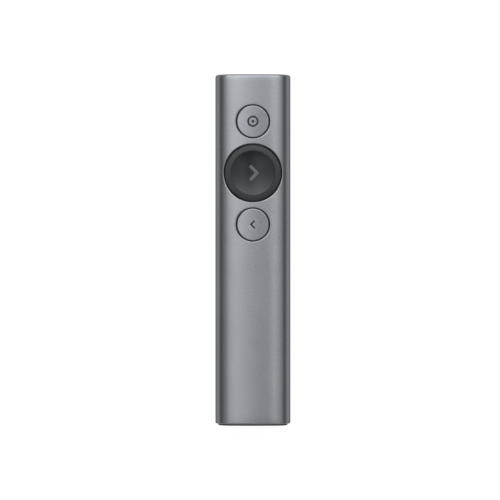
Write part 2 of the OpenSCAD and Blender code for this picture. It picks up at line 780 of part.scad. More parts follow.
module receiver_case() color([0.11, 0.11, 0.12]) difference() {
    translate([0, case_y0, receiver_z]) rounded_bar(case_w, case_t, case_l, case_round);
    box(mid(receiver_board_w + 2 * fit), [case_y0 + case_tail_t, case_y1 + past],
        [receiver_board_z - seat_gap, receiver_z + case_t / 2 - case_wall]);
    translate([0, case_y0, receiver_z + case_t / 2]) rotate([0, 90, 0])
        cylinder(r = nail_r, h = nail_w, center = true);
}

module receiver_shell() color([0.78, 0.79, 0.8]) difference() {
    translate([0, case_y1 + seat_gap, receiver_z]) rounded_bar(plug_w, plug_t, plug_l - seat_gap, plug_round);
    translate([0, case_y1 - past, receiver_z])
        rounded_bar(plug_w - 2 * plug_wall, plug_t - 2 * plug_wall, plug_l + 2 * past, plug_round / 2);
    for (x = [-window_x, window_x]) box(about(x, window_w), [window_y, window_y + window_w], [0, 2 * body_t]);
}

module receiver_board() color([0.93, 0.93, 0.92])
    box(mid(receiver_board_w), [receiver_board_y0, plug_y1 - fit], [receiver_board_z, receiver_board_top]);

module receiver_contacts() color([0.85, 0.68, 0.25]) translate([0, plug_y1, receiver_board_top + eps])
    for (strip = [[outer_contact_x, outer_contact_y1], [inner_contact_x, inner_contact_y1]], s = [-1, 1])
        box(about(s * strip[0], contact_strip_w), [-contact_strip_y0, -strip[1]], [0, contact_strip_t]);

module receiver_chip() color([0.06, 0.06, 0.07])
    translate([0, receiver_board_y0 + 1, receiver_board_top + eps]) box(mid(4), [0, 4], [0, 0.8]);

module receiver_dock() color([0.16, 0.16, 0.17]) difference() {
    union() {
        box(mid(dock_in_w + 2 * dock_wall), [dock_y0, dock_y1],
            [dock_in_z - dock_floor_t, receiver_z + plug_t / 2]);
        both_sides() box([dock_in_w / 2 - dock_foot_w, dock_in_w / 2 + dock_wall],
            [port_y0 + port_l + board_gap, dock_y1], [on_board, dock_in_z]);
    }
    box(mid(dock_in_w), [dock_y0 - past, dock_y1 - dock_wall], [dock_in_z, body_t]);
    box(mid(dock_window_w), [dock_window_y0, dock_window_y1], [0, receiver_z]);
}

module dock_spring() color([0.75, 0.76, 0.78]) { // a sprung leaf that bears on the plug's underside
    crest = receiver_z - plug_t / 2 - 2 * seat_gap;
    y0 = dock_window_y0 + fit;
    tip_y = dock_window_y1 - fit;
    crest_y = (y0 + 2 * tip_y) / 3;
    under = [[y0, on_board], [y0 + leaf_foot, on_board], [crest_y, crest - leaf_t],
        [tip_y, crest - leaf_drop - leaf_t]];
    rotate([90, 0, 90]) translate([0, 0, -leaf_w / 2]) linear_extrude(leaf_w)
        polygon(concat(under, [for (i = [len(under) - 1:-1:0]) under[i] + [0, leaf_t]]));
}

// ---- Chips on the board ----

module chip(x, y, w, l, h) box([x - w / 2, x + w / 2], [y - l / 2, y + l / 2], [on_board, board_top + h]);

module radio_chip() color([0.07, 0.07, 0.08]) chip(chip_x, chips_y, 5, 5, 0.9);
module clock_crystal() color([0.8, 0.8, 0.78]) chip(-chip_x, chips_y, 3.2, 2.5, 0.8);
module motion_sensor() color([0.07, 0.07, 0.08]) chip(-chip_x, sensor_y, 3, 3, 0.9);
module charger_chip() color([0.07, 0.07, 0.08]) chip(-header_x, header_y - header_l / 2, 2.6, 3, 0.8);
module antenna() color([0.88, 0.87, 0.8]) chip(0, board_y1 - 1.6, 7, 2, 1.2);

module board_passives() color([0.6, 0.5, 0.38]) {
    for (i = [1:5]) chip(frame_wall - frame_half_w + i * 1.1, light_y - 0.2, 0.6, 1, 0.5);
    for (i = [-1:1], k = [0, 1]) chip(chip_x + i * 1.6, sensor_y + (k - 0.5) * 1.8, 1, 0.6, 0.5);
    for (i = [-1:2]) chip(i * 1.6, header_y - header_l / 2, 1, 0.6, 0.5);
}

// ---- Assembly ----

housing_tube();
top_end_cap();
bottom_collar();
collar_screws();
chassis_tray();
main_board();
button_frame();
frame_screws();
pointer_cap();
pointer_mark();
pointer_carrier();
pointer_actuator();
pointer_dome();
pointer_switch();
next_ring();
next_dish();
next_arrow();
next_carrier();
next_actuator();
next_dome();
next_switch();
light_guide();
status_leds();
back_cap();
back_arrow();
back_carrier();
back_actuator();
back_dome();
back_switch();
battery_cell();
battery_guard();
battery_pad();
battery_wires();
battery_plug();
battery_header();
charging_port();
charging_tongue();
charging_contacts();
receiver_dock();
dock_spring();
receiver_case();
receiver_shell();
receiver_board();
receiver_contacts();
receiver_chip();
motor_can();
motor_shaft();
motor_weight();
motor_boot();
motor_wires();
radio_chip();
clock_crystal();
motion_sensor();
charger_chip();
antenna();
board_passives();
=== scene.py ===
# Wireless presentation clicker: its outer pieces, finishes, lights and camera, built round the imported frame.
# Lengths in the settings are millimetres unless a note says otherwise.
import json
import math

import bmesh
import bpy
import numpy as np
from mathutils import Matrix, Vector


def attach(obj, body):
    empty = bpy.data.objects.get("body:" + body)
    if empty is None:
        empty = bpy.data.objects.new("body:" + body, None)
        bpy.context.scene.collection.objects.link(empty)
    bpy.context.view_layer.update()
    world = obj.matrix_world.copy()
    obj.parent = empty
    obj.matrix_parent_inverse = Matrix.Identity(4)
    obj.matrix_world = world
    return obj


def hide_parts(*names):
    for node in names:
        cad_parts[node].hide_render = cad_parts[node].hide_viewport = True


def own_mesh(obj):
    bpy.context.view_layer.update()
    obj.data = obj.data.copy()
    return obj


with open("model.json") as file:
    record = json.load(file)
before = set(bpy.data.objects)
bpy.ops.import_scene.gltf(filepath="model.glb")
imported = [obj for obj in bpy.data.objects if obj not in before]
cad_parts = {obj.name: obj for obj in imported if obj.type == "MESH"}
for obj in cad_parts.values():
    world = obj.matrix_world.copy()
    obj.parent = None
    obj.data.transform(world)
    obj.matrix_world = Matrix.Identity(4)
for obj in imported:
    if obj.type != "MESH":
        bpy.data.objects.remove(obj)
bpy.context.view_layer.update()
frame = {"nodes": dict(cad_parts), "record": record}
nodes = frame["nodes"]
slotOf = {part["node"]: part["material_slot"] for part in frame["record"]["subparts"]}
print("frame loaded:", len(nodes), "nodes")

mm = 0.001
pi = math.pi


def linear(tone):
    # An 8-bit screen tone as a linear colour: a straight foot, then a power of 2.4
    share = np.array(tone, float) / 255
    share = np.where(share <= 0.04045, share / 12.92, ((share + 0.055) / 1.055) ** 2.4)
    return (*share.tolist(), 1.0)


class Recipe:
    # A node tree under construction, for a material or for the world

    def __init__(self, owner):
        owner.use_nodes = True
        self.owner = owner
        self.tree = owner.node_tree
        self.tree.nodes.clear()
        self.coordinates = self.add("ShaderNodeTexCoord").outputs

    def add(self, kind, **settings):
        node = self.tree.nodes.new(kind)
        for key, value in settings.items():
            setattr(node, key, value)
        return node

    def join(self, source, target):
        self.tree.links.new(source, target)

    def feed(self, target, value):
        # A socket is linked, and anything else is set on the socket itself
        if isinstance(value, bpy.types.NodeSocket):
            self.join(value, target)
        else:
            target.default_value = value

    def fed(self, kind, values, **settings):
        # A new node with these inputs, by name or number
        node = self.add(kind, **settings)
        for key, value in values.items():
            self.feed(node.inputs[key], value)
        return node

    def stretched(self, scale):
        # The object's own coordinates, stretched along each axis
        values = {"Vector": self.coordinates["Object"], "Scale": scale}
        return self.fed("ShaderNodeMapping", values).outputs[0]

    def noise(self, scale, detail=3.0, rough=0.55, at=None):
        values = {"Vector": at or self.coordinates["Object"], "Scale": scale, "Detail": detail,
                  "Roughness": rough}
        return self.fed("ShaderNodeTexNoise", values).outputs["Fac"]

    def cells(self, scale, feature="F1", at=None, metric="EUCLIDEAN"):
        values = {"Vector": at or self.coordinates["Object"], "Scale": scale}
        return self.fed("ShaderNodeTexVoronoi", values, feature=feature, distance=metric).outputs["Distance"]

    def spread(self, value, low, high, start=0.3, end=0.7, kind="LINEAR"):
        # Carries a field from start..end to low..high
        values = {"Value": value, "From Min": start, "From Max": end, "To Min": low, "To Max": high}
        return self.fed("ShaderNodeMapRange", values, interpolation_type=kind).outputs["Result"]

    def maths(self, kind, first, second):
        return self.fed("ShaderNodeMath", {0: first, 1: second}, operation=kind).outputs[0]

    def summed(self, fields, shares):
        # Two fields added up, each times its share
        return self.maths("ADD", *[self.maths("MULTIPLY", *pair) for pair in zip(fields, shares)])

    def mixed(self, share, first, second, kind="RGBA"):
        node = self.fed("ShaderNodeMix", {"Factor": share, "A": first, "B": second}, data_type=kind)
        return node.outputs["Result"]

    def toned(self, field, tones):
        # Drifts from the first tone to the second with the field
        return self.mixed(self.spread(field, 0, 1), *[linear(tone) for tone in tones])

    def relief(self, height, depth, under=None):
        # A bump of the given depth in millimetres
        values = {"Distance": depth * mm, "Height": height}
        if under:
            values["Normal"] = under
        return self.fed("ShaderNodeBump", values).outputs["Normal"]

    def ended(self, shade, kind="ShaderNodeOutputMaterial"):
        self.join(shade, self.add(kind).inputs[0])
        return self.owner

    def painted(self, values):
        # Ends a material in a shader with these inputs
        return self.ended(self.fed("ShaderNodeBsdfPrincipled", values).outputs[0])


def newRecipe(name):
    return Recipe(bpy.data.materials.new(name))


# Each plain finish: two tones that drift into one another over "drift" per metre, a finer grain, the
# roughness that the grain swings between, and the depth of its relief in millimetres
plainFinishes = {
    "dark_button": dict(tones=((40, 42, 44), (45, 47, 49)), drift=150, grain=5200, rough=(0.36, 0.46),
                        depth=0.004, shine=0.42),
    "dish_pad": dict(tones=((16, 18, 20), (21, 23, 25)), drift=170, grain=4500, rough=(0.24, 0.31),
                     gloss=(0.88, 0.94, 0.99), shine=0.52),
    "arrow_grey": dict(tones=((94, 97, 102), (101, 104, 109)), drift=600, grain=9000, rough=(0.42, 0.52),
                       depth=0.004),
    "dark_mark": dict(tones=((30, 31, 33), (38, 39, 41)), drift=900, grain=9000, rough=(0.5, 0.62),
                      depth=0.004),
    "end_plastic": dict(tones=((46, 47, 49), (53, 54, 56)), drift=160, grain=4200, rough=(0.45, 0.6),
                        depth=0.010),
    "chassis_plastic": dict(tones=((44, 44, 46), (52, 52, 54)), drift=90, grain=3000, rough=(0.4, 0.58),
                            depth=0.012),
    "carrier_plastic": dict(tones=((56, 56, 58), (66, 66, 68)), drift=140, grain=3600, rough=(0.38, 0.52),
                            depth=0.008),
    "chip_black": dict(tones=((34, 34, 36), (44, 44, 46)), drift=500, grain=7000, rough=(0.45, 0.6)),
    "ceramic": dict(tones=((186, 172, 148), (206, 194, 172)), drift=900, grain=8000, rough=(0.4, 0.55)),
    "white_nylon": dict(tones=((216, 212, 200), (230, 227, 216)), drift=300, grain=4000, rough=(0.35, 0.5)),
    "receiver_white": dict(tones=((226, 226, 222), (236, 236, 233)), drift=200, grain=5000, rough=(0.3, 0.42),
                           depth=0.004),
    "led_body": dict(tones=((228, 222, 190), (240, 236, 214)), drift=900, grain=8000, rough=(0.25, 0.4),
                     depth=0.003),
    "rubber": dict(tones=((30, 30, 32), (40, 40, 42)), drift=260, grain=2600, rough=(0.6, 0.8), depth=0.015),
    "red_wire": dict(tones=((150, 24, 20), (168, 34, 28)), drift=500, grain=5000, rough=(0.3, 0.42)),
}
# The grain's specks: how much lighter they are than the second tone, the share that they reach, and the
# stretch of the grain over which they rise
specks = {"lift": 1.18, "share": 0.45, "rise": (0.45, 0.75)}


def plainFinish(name, tones, drift, grain, rough, depth=0.006, gloss=(1.0, 1.0, 1.0), shine=0.5):
    recipe = newRecipe(name)
    broad = recipe.noise(drift, 2.0)
    fine = recipe.noise(grain)
    tone = recipe.toned(broad, tones)
    speck = tuple(specks["lift"] * shade for shade in linear(tones[1])[:3]) + (1.0,)
    tone = recipe.mixed(recipe.spread(fine, 0, specks["share"], *specks["rise"]), tone, speck)
    return recipe.painted({"Base Color": tone, "Roughness": recipe.spread(fine, *rough),
                           "Specular Tint": (*gloss, 1.0), "Specular IOR Level": shine,
                           "Normal": recipe.relief(fine, depth)})


# Each bare metal: its tones, the stretch of its brush marks along x, y and z, and the depth of those marks
metalFinishes = {
    "steel": dict(tones=((150, 151, 154), (176, 177, 180)), marks=(1, 1, 0.15), scale=6000,
                  rough=(0.22, 0.38), depth=0.003),
    "spring_steel": dict(tones=((178, 180, 183), (196, 198, 201)), marks=(0.08, 1, 1), scale=7000,
                         rough=(0.18, 0.32), depth=0.002),
    "gold_contact": dict(tones=((214, 176, 92), (228, 194, 116)), marks=(1, 0.1, 1), scale=9000,
                         rough=(0.16, 0.3), depth=0.002),
    "tungsten": dict(tones=((112, 108, 102), (132, 128, 122)), marks=(1, 1, 1), scale=5200, rough=(0.4, 0.6),
                     depth=0.012),
}
smudges = {"scale": 220, "rough": 0.05}  # broad smudges over the metals, and the roughness that they add


def metalFinish(name, tones, marks, scale, rough, depth):
    recipe = newRecipe(name)
    brushed = recipe.noise(scale, 4.0, 0.6, recipe.stretched(marks))
    smudge = recipe.noise(smudges["scale"], 2.0)
    tone = recipe.toned(smudge, tones)
    worn = recipe.maths("ADD", recipe.spread(brushed, *rough), recipe.spread(smudge, 0.0, smudges["rough"]))
    return recipe.painted({"Base Color": tone, "Metallic": 1.0, "Roughness": worn,
                           "Normal": recipe.relief(brushed, depth)})


# Bead-blasted aluminium: its dye's two tones, the paler mottle and edges, and its tint at a slant
aluminium = {
    "tones": ((148, 151, 156), (154, 157, 162)), "pale": (160, 163, 167), "edge": (170, 173, 178),
    "paleShare": 0.25, "edgeShare": 0.6, "edgeRise": (0.53, 0.62),  # how much of each, and which edges
    "drift": 60, "blast": 7500, "mottle": 1300, "swing": 0.004, "grazing": 0.2,
    "tube": ((0.26, 0.32), 0.0016), "caps": ((0.25, 0.27), 0.0006),  # roughness, and depth of the dimples
}


def anodisedFinish(name, piece):
    rough, depth = aluminium[piece]
    recipe = newRecipe(name)
    dimples = recipe.noise(aluminium["blast"], 3.0, 0.6)
    mottle = recipe.noise(aluminium["mottle"])
    dye = recipe.noise(aluminium["drift"], 2.0)
    tone = recipe.toned(dye, aluminium["tones"])
    tone = recipe.mixed(recipe.spread(mottle, 0, aluminium["paleShare"]), tone, linear(aluminium["pale"]))
    corner = recipe.add("ShaderNodeNewGeometry").outputs["Pointiness"]
    edge = recipe.spread(corner, 0, aluminium["edgeShare"], *aluminium["edgeRise"])
    tone = recipe.mixed(edge, tone, linear(aluminium["edge"]))
    swing = aluminium["swing"]
    worn = recipe.maths("ADD", recipe.spread(dimples, *rough), recipe.spread(mottle, -swing, swing))
    grazing = (aluminium["grazing"],) * 3 + (1.0,)
    return recipe.painted({"Base Color": tone, "Metallic": 1.0, "Roughness": worn, "Specular Tint": grazing,
                           "Normal": recipe.relief(dimples, depth)})


# Green solder mask: copper tracks stand up under it as square-cornered ridges, paler than the laminate
board = {"laminate": (18, 70, 46), "copper": (32, 104, 66), "fibre": (12, 56, 38), "tracks": 420,
         "stretch": (1, 0.45, 1), "trackEdge": (0.05, 0.09), "weave": 2600, "weaveShare": 0.3,
         "rough": (0.22, 0.38), "depth": 0.02, "heights": (0.8, 0.2)}  # shares of the tracks and the weave


def boardFinish(name):
    recipe = newRecipe(name)
    stretched = recipe.stretched(board["stretch"])
    edge = recipe.cells(board["tracks"], "DISTANCE_TO_EDGE", stretched, "MANHATTAN")
    track = recipe.spread(edge, 1, 0, *board["trackEdge"])
    weave = recipe.noise(board["weave"])
    tone = recipe.mixed(track, linear(board["laminate"]), linear(board["copper"]))
    tone = recipe.mixed(recipe.spread(weave, 0, board["weaveShare"]), tone, linear(board["fibre"]))
    height = recipe.summed((track, weave), board["heights"])
    return recipe.painted({"Base Color": tone, "Roughness": recipe.spread(weave, *board["rough"]),
                           "Normal": recipe.relief(height, board["depth"])})


# The pouch's laminate: silver grey, with shallow dents and crossing creases
foil = {"tones": ((164, 166, 169), (186, 188, 191)), "dents": 240, "creases": 360, "grain": 5200,
        "stretch": (1, 0.5, 1), "creaseWidth": 0.08,
        "rough": (0.3, 0.46), "depths": (0.10, 0.012, 0.003)}  # depths of the dents, creases and grain


def foilFinish(name):
    recipe = newRecipe(name)
    dents = recipe.noise(foil["dents"], 2.0)
    creases = recipe.cells(foil["creases"], "DISTANCE_TO_EDGE", recipe.stretched(foil["stretch"]))
    fine = recipe.noise(foil["grain"])
    tone = recipe.toned(dents, foil["tones"])
    lower = recipe.relief(dents, foil["depths"][0])
    crease = recipe.spread(creases, 0, 1, 0.0, foil["creaseWidth"])
    upper = recipe.relief(crease, foil["depths"][1], lower)
    return recipe.painted({"Base Color": tone, "Metallic": 1.0,
                           "Roughness": recipe.spread(fine, *foil["rough"]),
                           "Normal": recipe.relief(fine, foil["depths"][2], upper)})


# Amber film over the cell's guard board, glossy, with the slight ripple of tape laid by hand
tape = {"tones": ((186, 118, 26), (212, 146, 48)), "dark": (150, 88, 18), "ripple": 520, "streak": 3800,
        "rippleStretch": (1, 0.3, 1), "streakStretch": (0.12, 1, 1), "darkShare": 0.35,
        "rough": (0.12, 0.24), "coat": 0.5, "depths": (0.03, 0.002)}  # depths of the ripple and the streaks


def tapeFinish(name):
    recipe = newRecipe(name)
    ripple = recipe.noise(tape["ripple"], 2.0, 0.5, recipe.stretched(tape["rippleStretch"]))
    streak = recipe.noise(tape["streak"], 3.0, 0.6, recipe.stretched(tape["streakStretch"]))
    tone = recipe.toned(ripple, tape["tones"])
    tone = recipe.mixed(recipe.spread(streak, 0, tape["darkShare"]), tone, linear(tape["dark"]))
    under = recipe.relief(ripple, tape["depths"][0])
    return recipe.painted({"Base Color": tone, "Roughness": recipe.spread(streak, *tape["rough"]),
                           "Coat Weight": tape["coat"],
                           "Normal": recipe.relief(streak, tape["depths"][1], under)})


# Open-celled foam: each cell is a pit with a pale rim, and the pits' darker tone is painted shade in the
# hollows
foam = {"pit": (28, 28, 30), "rim": (58, 58, 61), "cells": 2200, "lumps": 700, "rise": (0.1, 0.7),
        "rough": (0.75, 0.92), "depth": 0.12, "heights": (0.7, 0.3)}  # shares of the pits and the lumps


def foamFinish(name):
    recipe = newRecipe(name)
    pit = recipe.cells(foam["cells"])
    lump = recipe.noise(foam["lumps"])
    # The pits are painted darker than their rims: painted shade in the cells' hollows
    tone = recipe.mixed(recipe.spread(pit, 0, 1, *foam["rise"]), linear(foam["pit"]), linear(foam["rim"]))
    height = recipe.summed((pit, lump), foam["heights"])
    return recipe.painted({"Base Color": tone, "Roughness": recipe.spread(lump, *foam["rough"]),
                           "Normal": recipe.relief(height, foam["depth"])})


# Smoked clear plastic, dark while the light behind it is off
lightPipe = {"tones": ((22, 24, 26), (32, 34, 37)), "haze": 1400, "grain": 9000, "rough": (0.14, 0.24),
             "coat": 0.4, "depth": 0.001}


def lightPipeFinish(name):
    recipe = newRecipe(name)
    haze = recipe.noise(lightPipe["haze"], 2.0)
    fine = recipe.noise(lightPipe["grain"], 2.0)
    tone = recipe.toned(haze, lightPipe["tones"])
    return recipe.painted({"Base Color": tone, "Roughness": recipe.spread(fine, *lightPipe["rough"]),
                           "Coat Weight": lightPipe["coat"],
                           "Normal": recipe.relief(fine, lightPipe["depth"])})


finish = {name: plainFinish(name, **values) for name, values in plainFinishes.items()}
finish.update({name: metalFinish(name, **values) for name, values in metalFinishes.items()})
for name, piece in (("anodised_aluminium", "tube"), ("anodised_caps", "caps")):
    finish[name] = anodisedFinish(name, piece)
for name, make in (("circuit_board", boardFinish), ("battery_foil", foilFinish), ("amber_tape", tapeFinish),
                   ("foam", foamFinish), ("light_pipe", lightPipeFinish)):
    finish[name] = make(name)
for name, node in nodes.items():
    for place in node.material_slots:
        place.material = finish[slotOf[name]]
print("finishes:", len(finish))


joining = {
    "merge": 0.002, "short": 0.0005,  # points this close are merged, and edges this short dissolved
    "sharp": 38.0,  # degrees between faces from which an edge stays sharp
}


def shown(name, data):
    # A new object for a mesh, a lamp or a camera, in the scene
    item = bpy.data.objects.new(name, data)
    bpy.context.scene.collection.objects.link(item)
    return item


def gridQuads(rows, cols, start, wrapRows, wrapCols):
    # Joins a grid of points, row by row, into quads; wrapping closes the grid on itself
    row = np.arange(rows if wrapRows else rows - 1)[:, None]
    col = np.arange(cols if wrapCols else cols - 1)[None, :]
    rowNext, colNext = (row + 1) % rows, (col + 1) % cols
    corners = [row * cols + col, row * cols + colNext, rowNext * cols + colNext, rowNext * cols + col]
    return np.stack(corners, -1).reshape(-1, 4) + start


def buildPiece(name, patches, body, slot, replaced=(), capped=False, look=None):
    # Joins grids of points into one closed mesh. Each patch is (points, wrapRows, wrapCols), in millimetres.
    points, quads, start = [], [], 0
    for grid, wrapRows, wrapCols in patches:
        rows, cols = grid.shape[:2]
        points.append(grid.reshape(-1, 3))
        quads.append(gridQuads(rows, cols, start, wrapRows, wrapCols))
        start += rows * cols
    mesh = bpy.data.meshes.new(name)
    mesh.from_pydata((np.concatenate(points) * mm).tolist(), [], np.concatenate(quads).tolist())
    return finishPiece(name, mesh, body, slot, replaced, capped, look)


def finishPiece(name, mesh, body, slot, replaced=(), capped=False, look=None):
    # Merges the seams and poles, turns the faces outward, smooths all but the sharp edges, and hangs the
    # piece on its body
    work = bmesh.new()
    work.from_mesh(mesh)
    bmesh.ops.remove_doubles(work, verts=work.verts, dist=joining["merge"] * mm)
    bmesh.ops.dissolve_degenerate(work, edges=work.edges, dist=joining["short"] * mm)
    if capped:
        bmesh.ops.holes_fill(work, edges=work.edges, sides=0)
    bmesh.ops.recalc_face_normals(work, faces=work.faces)
    loose = sum(len(edge.link_faces) != 2 for edge in work.edges)
    work.to_mesh(mesh)
    work.free()
    mesh.shade_smooth()
    mesh.set_sharp_from_angle(angle=math.radians(joining["sharp"]))
    mesh.materials.append(finish[look or slot])
    piece = shown(name, mesh)
    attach(piece, body)
    if replaced:
        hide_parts(*replaced)
    print("piece:", name, len(mesh.polygons), "faces,", loose, "loose edges")
    return piece


def polar(turn, radius):
    # Flat points by bearing and radius
    return np.stack([radius * np.cos(turn), radius * np.sin(turn)], -1)


def onSurface(plan, centreY, surface, below=0.0):
    # Flat points moved to centreY and laid on the surface height(x, y), that far below it
    x, y = plan[..., 0], plan[..., 1]
    return np.stack([x, centreY + y, surface(x, y) - below], -1)


def bend(start, corner, end, steps, flat=0.0):
    # A rounded corner: the quadratic curve that leaves start and reaches end, pulled towards the corner. The
    # flat share moves that pull towards the straight line between the ends, up to a plain chamfer at 1.
    share = np.linspace(0, 1, steps + 1).reshape(-1, *[1] * np.ndim(start))
    pull = corner + flat * ((start + end) / 2 - corner)
    return (1 - share) ** 2 * start + 2 * share * (1 - share) * pull + share ** 2 * end


def turned(profile, angles, centreY):
    # Carries a profile of (radius, height) points round an upright line through (0, centreY)
    radius, height = np.array(profile, float).T[..., None]
    return np.stack([radius * np.cos(angles), centreY + radius * np.sin(angles), height + 0 * angles], -1)


holeGrowth = 1.2  # power by which the rows round a hole widen away from its rim


def holePatch(rim, lowA, highA, lowB, highB, countA, countB, steps):
    # Blends from a closed rim to the rectangle round it: each point moves in a straight line between them
    along = np.linspace(lowA, highA, countA + 1)
    up = np.linspace(lowB, highB, countB + 1)
    right = np.stack([0 * up[:-1] + highA, up[:-1]], -1)
    top = np.stack([along[:0:-1], 0 * along[:0:-1] + highB], -1)
    left = np.stack([0 * up[:0:-1] + lowA, up[:0:-1]], -1)
    bottom = np.stack([along[:-1], 0 * along[:-1] + lowB], -1)
    rectangle = np.concatenate([right, top, left, bottom])
    share = (np.linspace(0, 1, steps + 1) ** holeGrowth)[:, None, None]
    return rim * (1 - share) + rectangle * share


def rimAngles(countA, countB):
    # Angles of a rim's points in the order of the rectangle's points, from its lower right corner upward
    count = 2 * (countA + countB)
    return 2 * pi * (np.arange(count) - countB / 2) / count


buttons = {"pointer": 47.9, "next": 28.7, "back": 9.5}  # middles along y
tube = {
    "width": 28.1, "thickness": 11.8, "length": 131.0, "wall": 1.0,
    "backR": 5.735,  # radius of the sides' lower half
    "rims": {1: (0.0, 0.9), -1: (0.6, 0.5)},  # how far each end is set back, and its rim's rounding
    "innerEdge": 0.04,  # chamfer inside each rim
    "bulge": 0.052,  # radians of tilt over which the broad front tightens into the round sides
    "kneeTilt": 0.3, "tableSteps": 1200, "backSteps": 400,  # the section's table is finest up to the knee
    # each button hole: its radius, half the length of the patch round it, and quads along that patch
    "holes": {"back": (6.26, 7.35, 26), "next": (10.85, 11.85, 44), "pointer": (6.26, 7.35, 26)},
    "holeEdge": 0.34, "chamfer": 0.4, "edgeSteps": 6,  # rounding of the holes' edges, and how flat it is
    "patchHalf": 12.2,  # half the arc length that the patches round the holes take up
    "across": 44, "steps": 10,  # quads across the patches, and out from each hole
    "sideSteps": 34, "flatSteps": 4, "endSteps": (22, 6), "rimSteps": 8,
}
endY = tube["length"] / 2


def sectionTable():
    # The section by the tilt of its normal: the radius falls smoothly from the broad front to the round side,
    # then stays even to the flat back. Adding up radius times cosine and sine of the tilt gives the width and
    # the drop.
    knee, steps, backR = tube["kneeTilt"], tube["tableSteps"], tube["backR"]
    upper = np.concatenate([np.linspace(0, knee, steps + 1), np.linspace(knee, pi / 2, steps + 1)[1:]])
    fall = np.exp(-upper / tube["bulge"])

    def total(values, along):
        middles = (values[1:] + values[:-1]) / 2 * np.diff(along)
        return np.concatenate([[0], np.cumsum(middles)])

    wide, deep = total(fall * np.cos(upper), upper), total(fall * np.sin(upper), upper)
    halfWidth, rise = tube["width"] / 2, tube["thickness"] - backR
    # Two sums fix the two radii: the width and the height from the widest point up
    share = deep[-1] / wide[-1]
    sideR = (rise - halfWidth * share) / (1 - share)
    frontR = (halfWidth - sideR) / wide[-1]
    lower = np.linspace(pi / 2, pi, tube["backSteps"] + 1)[1:]
    tilt = np.concatenate([upper, lower, [pi]])
    x = np.concatenate([sideR * np.sin(upper) + frontR * wide, halfWidth - backR * (1 - np.sin(lower)), [0]])
    z = np.concatenate([tube["thickness"] - sideR * (1 - np.cos(upper)) - frontR * deep,
                        backR * (1 + np.cos(lower)), [0]])
    along = np.concatenate([[0], np.cumsum(np.hypot(np.diff(x), np.diff(z)))])
    return along, tilt, x, z


tableArc, tableTilt, tableX, tableZ = sectionTable()
sectionHalf, sideEnd = float(tableArc[-1]), float(tableArc[-2])
widest = int(np.argmax(tableX))


def sectionPoint(arc, inset):
    # The section at an arc length from the middle of the front, moved inward along its normal by the inset
    away = np.abs(arc)
    tilt = np.interp(away, tableArc, tableTilt)
    x = np.interp(away, tableArc, tableX) - inset * np.sin(tilt)
    z = np.interp(away, tableArc, tableZ) - inset * np.cos(tilt)
    return np.where(arc < 0, -x, x), z


def arcAt(x, inset):
    # The arc length of the front's point that stands over x, on the surface with that inset
    part = slice(0, widest + 1)
    reach = tableX[part] - inset * np.sin(tableTilt[part])
    arc = np.interp(np.abs(x), reach, tableArc[part])
    return np.where(x < 0, -arc, arc)


def frontZ(x, inset=0.0):
    # Height of the front over x
    return sectionPoint(arcAt(x, inset), inset)[1]


def capTop(x, y):
    # The front's height as a surface of x and y: it is the same all along the tube
    return frontZ(x)


def tubeGrid(arc, y, inset):
    # The section's points carried along y
    x, z = sectionPoint(arc, inset)
    return np.stack([x, y + 0 * x, z], -1)


def holeEdge(centreY, radius, angles):
    # A rounded corner from the front into the hole, then straight down its wall to the inside
    edge = tube["holeEdge"]
    cos, sin = np.cos(angles), np.sin(angles)

    def ring(reach, z):
        return np.stack([reach * cos, centreY + reach * sin, z], -1)

    outer = ring(radius + edge, frontZ((radius + edge) * cos))
    corner = ring(radius, frontZ(radius * cos))
    lower = ring(radius, frontZ(radius * cos) - edge)
    inner = ring(radius, frontZ(radius * cos, tube["wall"]))
    rounding = bend(outer, corner, lower, tube["edgeSteps"], tube["chamfer"])
    return np.concatenate([rounding, ((lower + inner) / 2)[None], inner[None]])


def holePatches(name):
    # The tube's outer and inner skin round a button's hole, and the edge that joins them
    centreY, half = buttons[name], tube["patchHalf"]
    radius, reach, along = tube["holes"][name]
    angles = rimAngles(tube["across"], along)
    patches = []
    for inset, rimR in ((0.0, radius + tube["holeEdge"]), (tube["wall"], radius)):
        rim = np.stack([arcAt(rimR * np.cos(angles), inset), centreY + rimR * np.sin(angles)], -1)
        grid = holePatch(rim, -half, half, centreY - reach, centreY + reach, tube["across"], along,
                         tube["steps"])
        patches.append((tubeGrid(grid[..., 0], grid[..., 1], inset), False, True))
    return patches + [(holeEdge(centreY, radius, angles), False, True)]


def tubeRim(sign):
    # One end's rim by inset and distance from the middle: a quarter round, then the chamfer inside it
    back, radius = tube["rims"][sign]
    wall, chamfer = tube["wall"], tube["innerEdge"]
    start, end = endY - back - radius, endY - back
    turn = np.linspace(0, pi / 2, tube["rimSteps"] + 1)[1:]
    insets = np.concatenate([radius * (1 - np.cos(turn)), [wall - chamfer, wall]])
    reach = np.concatenate([start + radius * np.sin(turn), [end, end - chamfer]])
    return start, insets, reach


